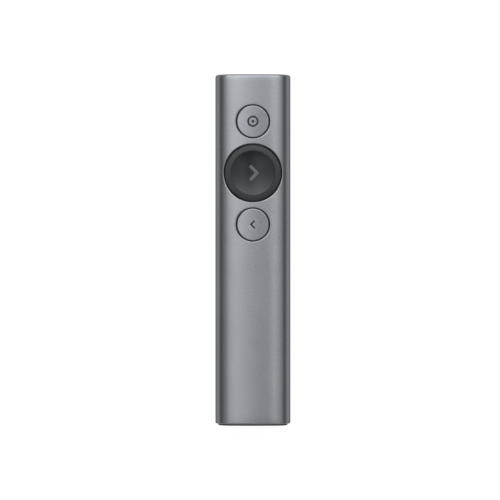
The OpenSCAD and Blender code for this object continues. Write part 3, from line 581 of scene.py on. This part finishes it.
def makeTube():
    # Patches round the holes, strips from them to both ends, and one belt round the sides and the back. Each
    # strip runs out along the outside, over the rim and back along the inside.
    half, wall = tube["patchHalf"], tube["wall"]
    patches, rows = [], []
    for name, hole in tube["holes"].items():
        reach, along = hole[1:]
        patches += holePatches(name)
        rows.append(np.linspace(buttons[name] - reach, buttons[name] + reach, along + 1)[:-1])
    rows = np.concatenate(rows)
    high = buttons["pointer"] + tube["holes"]["pointer"][1]
    topStart, topInsets, topReach = tubeRim(1)
    lowStart, lowInsets, lowReach = tubeRim(-1)
    lowRows = np.linspace(-lowStart, rows[0], tube["endSteps"][0])
    highRows = np.linspace(high, topStart, tube["endSteps"][1])
    across = np.linspace(-half, half, tube["across"] + 1)
    for sign, outer, rimInsets, rimReach in ((1, highRows, topInsets, topReach),
                                             (-1, -lowRows[::-1], lowInsets, lowReach)):
        insets = np.concatenate([0 * outer, rimInsets, 0 * outer + wall])
        ys = np.concatenate([outer, rimReach, outer[::-1]]) * sign
        patches.append((tubeGrid(across[None, :], ys[:, None], insets[:, None]), False, False))
    side = np.linspace(half, sideEnd, tube["sideSteps"] + 1)
    flat = np.linspace(sideEnd, sectionHalf, tube["flatSteps"] + 1)[1:]
    right = np.concatenate([side, flat])
    belt = np.concatenate([right, -right[-2::-1]])
    outer = np.concatenate([lowRows[:-1], rows, highRows])
    insets = np.concatenate([0 * outer, topInsets, 0 * outer + wall, lowInsets[::-1]])
    ys = np.concatenate([outer, topReach, outer[::-1], -lowReach[::-1]])
    patches.append((tubeGrid(belt[None, :], ys[:, None], insets[:, None]), True, False))
    buildPiece("tube_shell", patches, "housing", "anodised_aluminium", ["housing_tube"])


makeTube()

edgeKnee = 0.3  # share of a small edge's width and depth at which its middle row lies


def chevron(height, line, way, middle):
    # Corners of a square-cut arrow head, from the notch round its upper arm, tip and lower arm
    run = line * math.sqrt(2)
    width = height / 2 + run / 2
    upper = [[width - run, 0], [0, height / 2 - run / 2], [run / 2, height / 2], [width, 0]]
    lower = [[run / 2, -height / 2], [0, run / 2 - height / 2]]
    corners = np.array(upper + lower)
    corners[:, 0] = (corners[:, 0] - width / 2) * way + middle
    return corners


def grown(corners, gap):
    # Moves every side outward by the gap and meets them again at mitred corners
    after = np.roll(corners, -1, 0)
    ahead = after - corners
    ahead /= np.linalg.norm(ahead, axis=1)[:, None]
    turn = np.sign(np.sum(corners[:, 0] * after[:, 1] - corners[:, 1] * after[:, 0]))
    normal = np.stack([ahead[:, 1], -ahead[:, 0]], -1) * turn
    before = np.roll(normal, 1, 0)
    return corners + gap * (normal + before) / (1 + np.sum(normal * before, 1))[:, None]


def outlineAt(corners, counts):
    # Points along the sides of a closed outline, with a number of steps for each side
    sides = zip(corners, np.roll(corners, -1, 0), counts)
    return np.concatenate([start + (end - start) * np.arange(count)[:, None] / count
                           for start, end, count in sides])


def arms(corners, armSteps, lineSteps):
    # The two arms as grids, each between its inner and its outer side
    along = np.linspace(0, 1, armSteps + 1)[:, None, None]
    across = np.linspace(0, 1, lineSteps + 1)[None, :, None]
    notch, upperIn, upperOut, tip, lowerOut, lowerIn = corners
    upper = (1 - across) * (notch + along * (upperIn - notch)) + across * (tip + along * (upperOut - tip))
    lower = (1 - across) * (notch + along * (lowerIn - notch)) + across * (tip + along * (lowerOut - tip))
    return upper, lower


def arrowInlay(name, corners, centreY, surface, depth, drop, edge, armSteps, lineSteps, body, slot, replaced):
    # An inlaid arrow: its top follows the surface a little below it, with rounded edges
    counts = [armSteps, lineSteps, armSteps, armSteps, lineSteps, armSteps]
    knee = edgeKnee * edge
    rings = [(corners, depth), (corners, drop + edge), (grown(corners, -knee), drop + knee),
             (grown(corners, -edge), drop)]
    wall = [onSurface(outlineAt(outline, counts), centreY, surface, below) for outline, below in rings]
    patches = [(np.stack(wall), False, True)]
    for outline, below in (rings[-1], rings[0]):
        for grid in arms(outline, armSteps, lineSteps):
            patches.append((onSurface(grid, centreY, surface, below), False, False))
    buildPiece(name, patches, body, slot, replaced)


def loftToArrow(angles, corners, bearings):
    # Outline points of an arrow for a ring of angles: each corner goes to the column nearest its bearing
    columns = [int(np.argmin(np.abs((angles - bearing + pi) % (2 * pi) - pi))) for bearing in bearings]
    counts = [(after - here) % len(angles) for here, after in zip(columns, columns[1:] + columns[:1])]
    return np.roll(outlineAt(corners, counts), columns[0], 0)


def arrowBed(angles, radius, steps, corners, bearings, groove, clear, depth, centreY, surface):
    # Rows from a circle straight in to the arrow's outline, over the groove's edge and down its wall
    gaps = (groove + clear, groove, edgeKnee * groove, 0)
    rings = [loftToArrow(angles, grown(corners, gap), bearings) for gap in gaps]
    share = np.linspace(0, 1, steps + 1)[:, None, None]
    top = polar(angles, radius) * (1 - share) + rings[0] * share
    plans = np.concatenate([top, np.stack(rings[1:] + rings[-1:])])
    below = np.concatenate([np.zeros(steps + 2), [edgeKnee * groove, groove, depth]])[:, None]
    return onSurface(plans, centreY, surface, below)


smallCap = {
    "radius": 5.98, "base": 10.36, "around": 128,
    "edge": 0.32, "chamfer": 0.4, "edgeSteps": 6,  # rounding of the upper edge, and how flat it is
    "baseEdge": 0.1, "brim": 0.05,  # chamfer at the base, and the flat row inside the upper edge
    "markDepth": 0.15, "markDrop": 0.03, "markGap": 0.01,  # the bed's depth, the mark's drop and its side gap
    "groove": 0.03, "clear": 0.03,  # rounding of the bed's edges, and how far off the next row stands
    "targetR": 2.1, "line": 0.68, "dotR": 0.56, "topRows": (5.2, 4.2, 3.2), "middleRow": 1.0,
    "arrowHeight": 3.3, "arrowX": -0.15, "arrowBearings": (0, 32, 68, 180, 292, 328), "bedSteps": 8,
    "arrowSteps": (12, 4),
}


def capRows(centreY, profile, angles):
    # Rings of a cap: a row (radius, depth) lies that deep under the front, (radius, None, height) is level
    rows = np.array([(*row, 0)[:3] for row in profile], float)[..., None]
    radius, depth, height = rows[:, 0], rows[:, 1], rows[:, 2]
    x, y = radius * np.cos(angles), centreY + radius * np.sin(angles)
    return np.stack([x, y, np.where(np.isnan(depth), height, frontZ(x) - depth)], -1)


def capSkirt():
    # Underside, wall and upper edge, from the middle of the base outward and up. The edge is a curve from its
    # depth on the wall to the top as far in, a little flatter than a round.
    radius, base, edge, flat = (smallCap[key] for key in ("radius", "base", "edge", "chamfer"))
    foot = [(0, None, base), (radius / 2, None, base), (radius - smallCap["baseEdge"], None, base),
            (radius, None, base + smallCap["baseEdge"]), (radius, edge)]
    shares = np.linspace(0, 1, smallCap["edgeSteps"] + 1)[1:]
    corner = [(radius - edge * share * (share + flat * (1 - share)),
               edge * (1 - share) * (1 - share + flat * share)) for share in shares]
    return foot + corner + [(radius - edge - smallCap["brim"], 0)]


def makePointerCap():
    # Rings that dip into a round groove and a dot, and the two inlays of the target that fill these again
    depth, groove, gap = smallCap["markDepth"], smallCap["groove"], smallCap["markGap"]
    drop, knee = smallCap["markDrop"], edgeKnee * smallCap["groove"]
    outer, dot = smallCap["targetR"], smallCap["dotR"]
    inner = outer - smallCap["line"]
    centreY = buttons["pointer"]
    angles = np.linspace(0, 2 * pi, smallCap["around"], endpoint=False)

    def brink(radius, way):
        # From the top over the groove's edge and down its wall; the way is 1 from outside and -1 from inside
        return [(radius + way * (groove + smallCap["clear"]), 0), (radius + way * groove, 0),
                (radius + way * knee, knee), (radius, groove), (radius, depth)]

    def crest(radius, way):
        # A mark's upper edge, from its wall inward
        return [(radius, drop + groove), (radius + way * knee, drop + knee), (radius + way * groove, drop)]

    top = [(radius, 0) for radius in smallCap["topRows"]] + brink(outer, 1) + brink(inner, -1)[::-1]
    top += [(smallCap["middleRow"], 0)] + brink(dot, 1) + [(0, depth)]
    cap = capRows(centreY, capSkirt() + top, angles)
    buildPiece("pointer_button", [(cap, False, True)], "pointer", "anodised_aluminium", ["pointer_cap"],
               look="anodised_caps")
    ringMark = [(inner + gap, depth - gap), (outer - gap, depth - gap)]
    ringMark += crest(outer - gap, -1) + crest(inner + gap, 1)[::-1]
    dotMark = [(0, depth - gap), (dot - gap, depth - gap), (dot - gap, drop + groove),
               (dot - gap - groove, drop), (0, drop)]
    marks = [(capRows(centreY, ringMark, angles), True, True),
             (capRows(centreY, dotMark, angles), False, True)]
    buildPiece("pointer_target", marks, "pointer", "dark_mark", ["pointer_mark"])


def makeBackCap():
    # Rings from the skirt in to the bed of the arrow, and the arrow's inlay
    centreY = buttons["back"]
    angles = np.linspace(0, 2 * pi, smallCap["around"], endpoint=False)
    corners = chevron(smallCap["arrowHeight"], smallCap["line"], -1, smallCap["arrowX"])
    topR = smallCap["radius"] - smallCap["edge"] - smallCap["brim"]
    depth, groove, gap = smallCap["markDepth"], smallCap["groove"], smallCap["markGap"]
    skirt = capRows(centreY, capSkirt(), angles)
    bed = arrowBed(angles, topR, smallCap["bedSteps"], corners, np.radians(smallCap["arrowBearings"]), groove,
                   smallCap["clear"], depth, centreY, capTop)
    grid = np.concatenate([skirt, bed[1:]])
    buildPiece("back_button", [(grid, False, True)], "back", "anodised_aluminium", ["back_cap"], capped=True,
               look="anodised_caps")
    arrowInlay("back_arrow_inlay", grown(corners, -gap), centreY, capTop, depth - gap, smallCap["markDrop"],
               groove, *smallCap["arrowSteps"], "back", "dark_mark", ["back_arrow"])


makePointerCap()
makeBackCap()

roundButton = {
    "ringR": 10.45, "dishR": 8.3, "base": 10.36, "around": 192,
    "ringTop": 12.1, "ringFall": 0.3,  # height of the ring's inner edge, and its fall to the outer edge
    "outerEdge": 0.4, "innerEdge": 0.09, "baseEdge": 0.1, "ringSteps": (6, 3),
    "dishGap": 0.02, "dishRim": 12.0, "dishDepth": 1.05, "dishEdge": 0.06,
    "arrowHeight": 6.25, "arrowLine": 1.2, "arrowX": 0.45, "arrowDepth": 0.28, "arrowDrop": 0.015,
    "arrowEdge": 0.05, "arrowClear": 0.04, "arrowGap": (0.02, 0.01),  # the inlay's gap beside and beneath
    "arrowBearings": (180, 214, 248, 360, 112, 146), "bedSteps": 12, "arrowSteps": (14, 5),
    "lightX": 1.55, "lightY": 7.4, "lightR": 0.3, "lightRow": 11.0,  # a light window, and a row in its wall
    "windowTurn": 5, "beltHalf": 0.6,  # half the patch round a window, in degrees round and in radius
    "roundSteps": 150, "windowSteps": 8, "windowRows": 4,
}
ballR = (roundButton["dishR"] ** 2 + roundButton["dishDepth"] ** 2) / (2 * roundButton["dishDepth"])
dishFloor = roundButton["dishRim"] - roundButton["dishDepth"]


def dishZ(x, y):
    # The hollow is part of a ball
    return dishFloor + ballR - np.sqrt(ballR ** 2 - x ** 2 - y ** 2)


def makeRing():
    # The ring's section carried round: a flat base, a wall, and a top that rises inward between rounded edges
    ringR, dishR, base, ringTop = (roundButton[key] for key in ("ringR", "dishR", "base", "ringTop"))
    outerEdge, innerEdge, baseEdge = (roundButton[key] for key in ("outerEdge", "innerEdge", "baseEdge"))
    outerSteps, innerSteps = roundButton["ringSteps"]
    rimZ = ringTop - roundButton["ringFall"]
    slope = roundButton["ringFall"] / (ringR - dishR)
    low = [(dishR, base), (ringR - baseEdge, base), (ringR, base + baseEdge)]
    outer = bend(np.array([ringR, rimZ - outerEdge]), np.array([ringR, rimZ]),
                 np.array([ringR - outerEdge, rimZ + slope * outerEdge]), outerSteps)
    inner = bend(np.array([dishR + innerEdge, ringTop - slope * innerEdge]), np.array([dishR, ringTop]),
                 np.array([dishR, ringTop - innerEdge]), innerSteps)
    middle = (outer[-1] + inner[0]) / 2
    profile = np.concatenate([low, outer, middle[None], inner])
    angles = np.linspace(0, 2 * pi, roundButton["around"], endpoint=False)
    ring = turned(profile, angles, buttons["next"])
    buildPiece("round_button_ring", [(ring, True, True)], "next", "dark_button", ["next_ring"])


def lightWindow(bearing, sign, holeR, low, high, halfTurn):
    # The belt round one light window, blended in bearing and radius, and the window's wall
    steps, lightR = roundButton["windowSteps"], roundButton["lightR"]
    spin = rimAngles(steps, steps)
    x = sign * roundButton["lightX"] + lightR * np.cos(spin)
    y = roundButton["lightY"] + lightR * np.sin(spin)
    # The rectangle's points go round in bearing and radius, so the rim is sorted by its own direction there
    turn, radius = np.arctan2(y, x), np.hypot(x, y)
    direction = np.arctan2(radius - holeR, (turn - bearing) * holeR)
    order = np.argsort((direction - spin[0]) % (2 * pi - 1e-9))
    rim = np.stack([turn[order], radius[order]], -1)
    grid = holePatch(rim, bearing - halfTurn, bearing + halfTurn, low, high, steps, steps,
                     roundButton["windowRows"])
    skin = onSurface(polar(grid[..., 0], grid[..., 1]), buttons["next"], dishZ)
    x, y = x[order], y[order]
    base = roundButton["base"] + roundButton["baseEdge"]
    heights = np.stack([dishZ(x, y), 0 * x + roundButton["lightRow"], 0 * x + base])
    wall = np.stack([x + 0 * heights, buttons["next"] + y + 0 * heights, heights], -1)
    return [(skin, False, True), (wall, False, True)]


def makeDish():
    # Rings of the ball's hollow: base, wall and brim, a belt with the two light windows, then in to the arrow
    centreY, base, edge = buttons["next"], roundButton["base"], roundButton["dishEdge"]
    edgeR = roundButton["dishR"] - roundButton["dishGap"]
    holeTurn = math.atan2(roundButton["lightX"], roundButton["lightY"])
    holeR = math.hypot(roundButton["lightX"], roundButton["lightY"])
    halfTurn = math.radians(roundButton["windowTurn"])
    low, high = holeR - roundButton["beltHalf"], holeR + roundButton["beltHalf"]
    first, second = pi / 2 - holeTurn, pi / 2 + holeTurn
    steps, narrow = roundButton["roundSteps"], roundButton["windowSteps"]
    # Bearings round the dish, closer together where the light windows are
    parts = [(second + halfTurn, first - halfTurn + 2 * pi, steps),
             (first - halfTurn, first + halfTurn, narrow),
             (first + halfTurn, second - halfTurn, narrow),
             (second - halfTurn, second + halfTurn, narrow)]
    angles = np.concatenate([np.linspace(start, end, count + 1)[:-1] for start, end, count in parts])
    angles %= 2 * pi
    brim, knee = float(dishZ(edgeR, 0)), edgeKnee * edge
    profile = [(0, base), (edgeR / 2, base), (edgeR, base), (edgeR, brim - edge), (edgeR - knee, brim - knee)]
    upper = onSurface(polar(angles, np.array([[edgeR - edge], [high]])), centreY, dishZ)
    patches = [(np.concatenate([turned(profile, angles, centreY), upper]), False, True)]
    # The belt: plain between the windows, patched round them
    belt = np.linspace(high, low, narrow + 1)
    for start, end, count in (parts[0], parts[2]):
        turn = np.linspace(start, end, count + 1)
        patches.append((onSurface(polar(turn[None, :], belt[:, None]), centreY, dishZ), False, False))
    for bearing, sign in ((first, 1), (second, -1)):
        patches += lightWindow(bearing, sign, holeR, low, high, halfTurn)
    corners = chevron(roundButton["arrowHeight"], roundButton["arrowLine"], 1, roundButton["arrowX"])
    reverse = corners[[0, 5, 4, 3, 2, 1]]
    bearings, groove = np.radians(roundButton["arrowBearings"]), roundButton["arrowEdge"]
    depth, (sideGap, underGap) = roundButton["arrowDepth"], roundButton["arrowGap"]
    bed = arrowBed(np.sort(angles), low, roundButton["bedSteps"], reverse, bearings, groove,
                   roundButton["arrowClear"], depth, centreY, dishZ)
    patches.append((bed, False, True))
    buildPiece("round_button_dish", patches, "next", "dish_pad", ["next_dish"], capped=True)
    arrowInlay("next_arrow_inlay", grown(corners, -sideGap), centreY, dishZ, depth - underGap,
               roundButton["arrowDrop"], groove, *roundButton["arrowSteps"], "next", "arrow_grey",
               ["next_arrow"])


makeRing()
makeDish()

# Pieces with the plain solids' own shape: how close points are merged, the degrees up to which faces are
# joined, and from how many on an edge is rounded
copies = {"merge": 0.001, "flat": 1, "corner": 40}


def mergedCopy(node, name, body):
    # A piece with a node's own shape, its triangles joined up into whole faces
    work = bmesh.new()
    work.from_mesh(nodes[node].data)
    bmesh.ops.remove_doubles(work, verts=work.verts, dist=copies["merge"] * mm)
    flat = math.radians(copies["flat"])
    bmesh.ops.dissolve_limit(work, angle_limit=flat, verts=work.verts, edges=work.edges)
    mesh = bpy.data.meshes.new(name)
    work.to_mesh(mesh)
    work.free()
    return finishPiece(name, mesh, body, slotOf[node], [node])


# Each copy with rounded edges: its node, its name, its body, the rounding and the steps in it
softened = [
    ("bottom_collar", "collar_face", "housing", 0.18, 3),
    ("top_end_cap", "end_plate", "housing", 0.15, 3),
    ("receiver_case", "receiver_grip", "receiver", 0.2, 3),
    ("receiver_shell", "receiver_plug", "receiver", 0.06, 2),
    ("charging_port", "port_shell", "housing", 0.06, 2),
]
for node, name, body, width, segments in softened:
    rounding = mergedCopy(node, name, body).modifiers.new("rounding", "BEVEL")
    rounding.width = width * mm
    rounding.segments = segments
    rounding.limit_method = "ANGLE"
    rounding.angle_limit = math.radians(copies["corner"])
    rounding.use_clamp_overlap = True
    rounding.harden_normals = True

for button in buttons:
    dome = mergedCopy(button + "_dome", button + "_snap_dome", "housing")
    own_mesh(dome)


studio = {
    "floorHalf": 3.0, "floorDrop": 0.00005,  # metres: half the floor's side, and its gap under the object
    "floor": (124, 124, 124),
    "glow": 0.92, "slant": 0.66,  # strength of the floor's glow from above, and the share it loses at a slant
    "glowReach": 5.0, "glowFade": (0.2, 0.5),  # it fades this near the object, between these shares of sky
    "worldHigh": 0.1, "worldLow": 0.2,  # strength of the room overhead and at the horizon
    "worldEnds": 0.6, "endsReach": (0.5, 0.9),  # what it adds off the ends, rising over this y of the way
    "worldSeen": 0.375,  # plain strength for the camera
    "worldUnder": 0.75, "under": -0.06,  # plain strength for everything below this z of the way
    "aim": 0.006, "distance": 1.0,  # metres: height that the softboxes face, and how far off they stand
    # each softbox, as the object sees it: turn from overhead towards +x and towards +y, degrees across and
    # degrees along, and radiance
    "softboxes": {
        "leftWide": (-44, 4, 30, 50, 0.26),
        "leftPanel": (-20, 4, 17, 50, 0.74),
        "leftStrip": (-6.5, 8, 10, 52, 1.61),
        "rightStrip": (13, 11, 5, 50, 2.06),
        "rightPanel": (25.5, 4, 20, 50, 0.63),
        "rightWide": (47, 4, 24, 50, 0.4),
        "nearTop": (0, 17, 90, 10, 0.76),
        "middleTop": (0, 34, 60, 22, 2.3),
        "farTop": (0, 74, 34, 16, 1.0),
    },
}


def floorPaint():
    recipe = newRecipe("floor")
    path = recipe.add("ShaderNodeLightPath").outputs
    # The floor glows to the camera and to gloss alike, less where the object stands close over it
    seen = recipe.maths("MAXIMUM", path["Is Camera Ray"], path["Is Glossy Ray"])
    seen = recipe.maths("MAXIMUM", seen, path["Is Transmission Ray"])
    shade = recipe.fed("ShaderNodeAmbientOcclusion", {"Distance": studio["glowReach"] * mm}, samples=8)
    seen = recipe.maths("MULTIPLY", seen, recipe.spread(shade.outputs["AO"], 0, 1, *studio["glowFade"]))
    # Like a light table, it gives less at a slant
    slant = recipe.maths("MULTIPLY", recipe.add("ShaderNodeLayerWeight").outputs["Facing"], studio["slant"])
    seen = recipe.maths("MULTIPLY", seen, recipe.maths("SUBTRACT", 1.0, slant))
    glow = recipe.fed("ShaderNodeEmission", {"Strength": recipe.maths("MULTIPLY", seen, studio["glow"])})
    diffuse = recipe.fed("ShaderNodeBsdfDiffuse", {"Color": linear(studio["floor"])})
    both = recipe.fed("ShaderNodeAddShader", {0: diffuse.outputs[0], 1: glow.outputs[0]})
    # From below the floor is clear, so the back of the object shows
    clear = recipe.add("ShaderNodeBsdfTransparent")
    below = recipe.maths("MAXIMUM", recipe.add("ShaderNodeNewGeometry").outputs["Backfacing"],
                         recipe.maths("GREATER_THAN", path["Transparent Depth"], 0.5))
    choice = recipe.fed("ShaderNodeMixShader", {0: below, 1: both.outputs[0], 2: clear.outputs[0]})
    return recipe.ended(choice.outputs[0])


def makeFloor():
    half = studio["floorHalf"]
    plan = ((-half, -half), (half, -half), (half, half), (-half, half))
    mesh = bpy.data.meshes.new("floor")
    mesh.from_pydata([(x, y, -studio["floorDrop"]) for x, y in plan], [], [(0, 1, 2, 3)])
    mesh.materials.append(floorPaint())
    shown("floor", mesh)


def makeWorld():
    recipe = Recipe(bpy.data.worlds.new("studio"))
    way = recipe.fed("ShaderNodeSeparateXYZ", {0: recipe.coordinates["Generated"]}).outputs
    # The room is lighter off both ends of the object than at its sides
    off = recipe.maths("ABSOLUTE", way["Y"], 0.0)
    ends = recipe.spread(off, 0, 1, *studio["endsReach"], kind="SMOOTHSTEP")
    room = recipe.spread(way["Z"], studio["worldLow"], studio["worldHigh"], 0, 1)
    strength = recipe.maths("ADD", room, recipe.maths("MULTIPLY", ends, studio["worldEnds"]))
    # Over the horizon the camera sees a plain wall, and well under it everything sees a plain pale one
    seen = recipe.add("ShaderNodeLightPath").outputs["Is Camera Ray"]
    strength = recipe.mixed(seen, strength, studio["worldSeen"], "FLOAT")
    under = recipe.maths("LESS_THAN", way["Z"], studio["under"])
    strength = recipe.mixed(under, strength, studio["worldUnder"], "FLOAT")
    background = recipe.fed("ShaderNodeBackground", {"Color": (1.0, 1.0, 1.0, 1.0), "Strength": strength})
    bpy.context.scene.world = recipe.ended(background.outputs[0], "ShaderNodeOutputWorld")


def makeLights():
    # Each panel's size comes from the degrees that it spans, and its power from its area and radiance
    aim, distance = Vector((0, 0, studio["aim"])), studio["distance"]
    for name, (turnX, turnY, *spans, radiance) in studio["softboxes"].items():
        way = Vector((math.tan(math.radians(turnX)), math.tan(math.radians(turnY)), 1)).normalized()
        data = bpy.data.lights.new(name, "AREA")
        data.shape = "RECTANGLE"
        data.size, data.size_y = [2 * distance * math.tan(math.radians(span) / 2) for span in spans]
        data.energy = pi * data.size * data.size_y * radiance
        light = shown(name, data)
        light.location = aim + way * distance
        light.rotation_mode = "QUATERNION"
        # The panel's width runs across the object and its length along it
        side = (Vector((1, 0, 0)) - way * way.x).normalized()
        light.rotation_quaternion = Matrix((side, way.cross(side), way)).transposed().to_quaternion()


# Metres, but for the sensor: how high the camera stands and how far off the middle, the height of the
# object's middle, and the width that it sees there
camera = {"height": 0.9, "aside": (-0.00109, 0.00001), "middle": 0.0059, "across": 0.1873, "sensor": 36,
          "clip": (0.05, 20)}


def makeCamera():
    data = bpy.data.cameras.new("camera")
    data.sensor_width = camera["sensor"]
    data.lens = camera["sensor"] * (camera["height"] - camera["middle"]) / camera["across"]
    data.clip_start, data.clip_end = camera["clip"]
    item = shown("camera", data)
    item.location = (*camera["aside"], camera["height"])
    bpy.context.scene.camera = item


makeFloor()
makeWorld()
makeLights()
makeCamera()
bpy.context.scene.view_settings.view_transform = "Standard"
print("stage ready")
